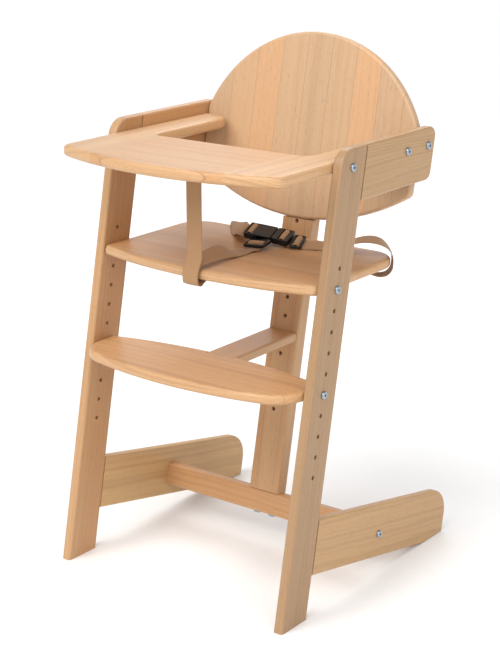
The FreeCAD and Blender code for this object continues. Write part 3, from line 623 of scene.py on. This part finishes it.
# crotch strap: from its screw under the seat, round the front edge, over the seat and through the adjuster
crotchRows = [(0, 46, under, 0, 0), (0, 24, under, 0, 0), (0, 11, under - 4, 0, 0), (0, 2, -25.6, 0, 0),
              (0, -3, -23, 0, 0), (0, -5, -15, 0, 0), (0, -4.4, -8, 0, 0), (0, -2.6, -1.5, 0, 0),
              (0, 1.5, 4.4, 0, -2), (0, 9, 7.6, 0, -5), (0, 22, 9.4, 0, -12), (0, 38, 11.4, 0, -20),
              (0, 52, 12.6, 0, -27), (0, 66, 12.8, 0, -33), (0, 80, 11.2, 0, -34), (0, 94, 8, 0, -26),
              (0, 108, 3.8, 0, -12), (0, 122, 1.7, 0, -2), (0, 136, 1.7, 0, 2)]
crotchRows += onPiece("adjuster", [(-15, -4), (-10.5, -3.6), (-7, -2.4), (-5.2, 1.2), (-2.9, 3.1), (0, 3.4),
                                   (2.9, 3.1), (5.2, 1.2), (6, -2), (3.6, -4.4), (-2, -5)], "across")
# tray strap: from its screw under the tray down to the front of the crotch strap, where it is sewn on
trayAbove = (trayUnder - seatHigh[2]) / mm
hang = 5.0      # how far the hanging strap lies behind the seat's front edge, in mm
trayRows = [(0, hang + 40, trayAbove - 1.1, 0, 0), (0, hang + 16, trayAbove - 1.1, 0, 0),
            (0, hang + 5, trayAbove - 3.5, 0, 0), (0, hang + 0.6, trayAbove - 9, 0, 0),
            (0, hang, trayAbove - 20, 0, 0), (0, hang - 0.3, trayAbove - 60, 0, 0.6), (0, hang, 36, 0, -0.5),
            (0, hang - 0.2, 24, 0, 0), (0, hang - 1.6, 14, 0, 0), (0, hang - 5.2, 7, 0, 0),
            (0, hang - 9.3, -0.2, 0, 0), (0, hang - 11.5, -7.5, 0, 0), (0, hang - 12.1, -15, 0, 0),
            (0, hang - 10.6, -22.5, 0, 0)]
# right waist strap: from its screw, round the rear edge, across to the socket, round its bar and back below
rightRows = [(-112, 224, under, 0, 0), (-112, 250, under, 0, 0), (-112, 260, under - 1.2, 0, 0),
             (-112, 269, -18.6, 0, 0), (-112, 272.4, -12, 0, 0), (-112, 272.4, -3, 0, 0),
             (-111.4, 269.6, 4.6, 0, 0), (-109, 263, 7.5, 6, 2), (-103, 253, 8, 24, 10),
             (-92, 238, 9, 50, 24), (-80, 222, 11, 72, 33), (-66, 207, 14, 88, 33), (-54, 196, 16.5, 97, 26)]
rightRows += onPiece("buckle", [(-45, -4.6), (-40, -6.2), (-36.6, -6.5), (-34.2, -4.8), (-33.4, 0),
                                (-32.9, 4.1), (-31.4, 5.4), (-29.2, 5.6), (-27, 5.4), (-25.5, 4.1),
                                (-25.1, 0), (-25.4, -5), (-27.5, -7.4), (-32, -8.2), (-38, -8.4)])
# left waist strap: from the plug's bar through the slider, over the seat and down round its corner
leftRows = onPiece("buckle", [(35, -8.3), (29, -8.2), (24.6, -7.6), (22.7, -5), (22.5, 0), (22.9, 4.1),
                              (24.4, 5.4), (26.6, 5.6), (28.8, 5.4), (30.3, 4.1), (30.7, 0), (31.3, -4.6),
                              (33.6, -6.5), (38, -6.9)])
leftRows += onPiece("slider", [(-9, -3.4), (-3, -3.4), (4, -3.4), (10, -3.4), (16, -3.4)])
leftRows += [(80, 218, 5.2, 106, 15), (93.5, 223, 4.9, 102, 15), (105, 225, 5.8, 100, 14),
             (118, 226, 8.6, 100, 12), (132, 228, 14, 101, 12), (147, 230, 20.4, 103, 11),
             (162, 233, 24.6, 107, 10), (176, 238, 25, 113, 9), (188, 243, 21.4, 119, 6),
             (196.5, 248, 14, 124, 0), (201.5, 251.5, 4, 127, 0), (202.8, 252, -8, 128, 0),
             (201.4, 250.8, -20, 128, 0), (196, 246.4, -28, 128, 0), (187, 239.2, -30.6, 128, 0),
             (176, 231, -27, 128, 0), (164, 222, -20.5, 128, 0), (152, 213, under, 128, 0),
             (138, 203, under, 128, 0), (124, 193, under, 128, 0)]
# short loop of webbing wrapped over the slider's bar
loopRows = onPiece("slider", [(-8.2, -2.1), (-5.6, -1.2), (-4.2, 1), (-2.4, 2.5), (0, 2.75), (2.4, 2.5),
                              (4.2, 1), (5.6, -1.2), (8.2, -2.1)])


def seamBox(start, end):
    # a sewn box across the strap, with one line back over its middle
    half = webbing["width"] / 2 - stitching["inset"]
    return [((start, -half), (start, half)), ((end, -half), (end, half)),
            ((start, -half), (end, -half)), ((start, half), (end, half)), ((start, -half), (end, half))]


crotch = makeStrap("crotchStrap", crotchRows)
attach(crotch, "chair")
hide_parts("crotch_strap")
tray = makeStrap("trayStrap", trayRows)
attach(tray, "chair")
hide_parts("tray_strap")
left = makeStrap("leftWaistStrap", leftRows)
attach(left, "chair")
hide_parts("left_waist_strap")
loop = makeStrap("sliderLoop", loopRows)
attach(loop, "slider")
right = makeStrap("rightWaistStrap", rightRows)
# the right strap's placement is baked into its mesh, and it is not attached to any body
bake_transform(right)
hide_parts("right_waist_strap", "socket_strap")


def strapLength(rows):
    middle = strapFrame(rows)[0]
    return float(np.linalg.norm(np.diff(middle, axis=0), axis=1).sum())


def sew(name, rows, span, body, side=1):
    thread = makeStitches(name, rows, seamBox(*span), side)
    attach(thread, body)


trayEnd = strapLength(trayRows)
leftEnd = strapLength(leftRows)
sew("trayStitching", trayRows, (trayEnd - 30 * mm, trayEnd - 6 * mm), "chair", -1)
sew("trayTopStitching", trayRows, (30 * mm, 44 * mm), "chair")
sew("rightStitching", rightRows, (20 * mm, 34 * mm), "chair")
sew("leftStitching", leftRows, (leftEnd - 32 * mm, leftEnd - 20 * mm), "chair")
sew("crotchStitching", crotchRows, (20 * mm, 32 * mm), "chair")
print("straps done")
